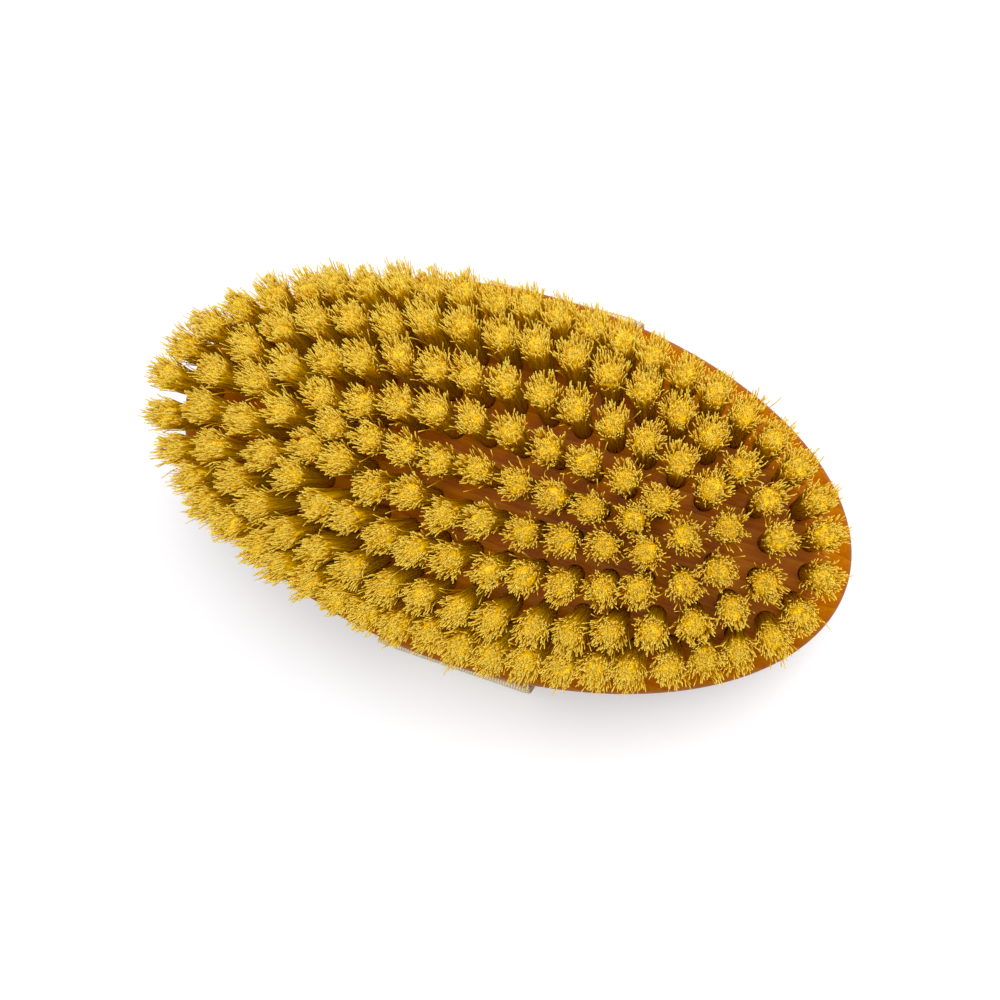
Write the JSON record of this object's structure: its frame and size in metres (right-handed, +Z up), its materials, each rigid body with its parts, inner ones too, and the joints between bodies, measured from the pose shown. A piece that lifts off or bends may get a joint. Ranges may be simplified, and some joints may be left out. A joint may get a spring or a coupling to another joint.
{
  "type": "scrubbing brush",
  "caption": "Oval wooden hand brush with splayed rings of bristle tufts on its face and a webbing hand strap nailed to its long sides.",
  "frame": {"origin": "on the surface that the brush lies on, under the middle of the strap", "axes": "+X along the block's long axis, +Y across it, +Z up through the bristles"},
  "size_m": [0.132, 0.0786, 0.0518],
  "materials": {
    "lacquered_wood": "amber stain under clear gloss lacquer, fine straight grain",
    "cotton_webbing": "natural ribbed cotton webbing",
    "steel_nails": "nickelled low-domed nail heads",
    "fibre_bristles": "golden yellow wavy fibre with paler cut tips",
    "anchor_wire": "flat bright steel wire"
  },
  "bodies": {
    "root": {"block": "lacquered_wood", "strap": "cotton_webbing", "strap_nails_left": "steel_nails", "strap_nails_right": "steel_nails", "tufts_centre_row": "fibre_bristles", "tufts_inner_ring": "fibre_bristles", "tufts_third_ring": "fibre_bristles", "tufts_second_ring": "fibre_bristles", "tufts_outer_ring": "fibre_bristles", "anchors_centre_row": "anchor_wire", "anchors_inner_ring": "anchor_wire", "anchors_third_ring": "anchor_wire", "anchors_second_ring": "anchor_wire", "anchors_outer_ring": "anchor_wire"}
  },
  "joints": []
}
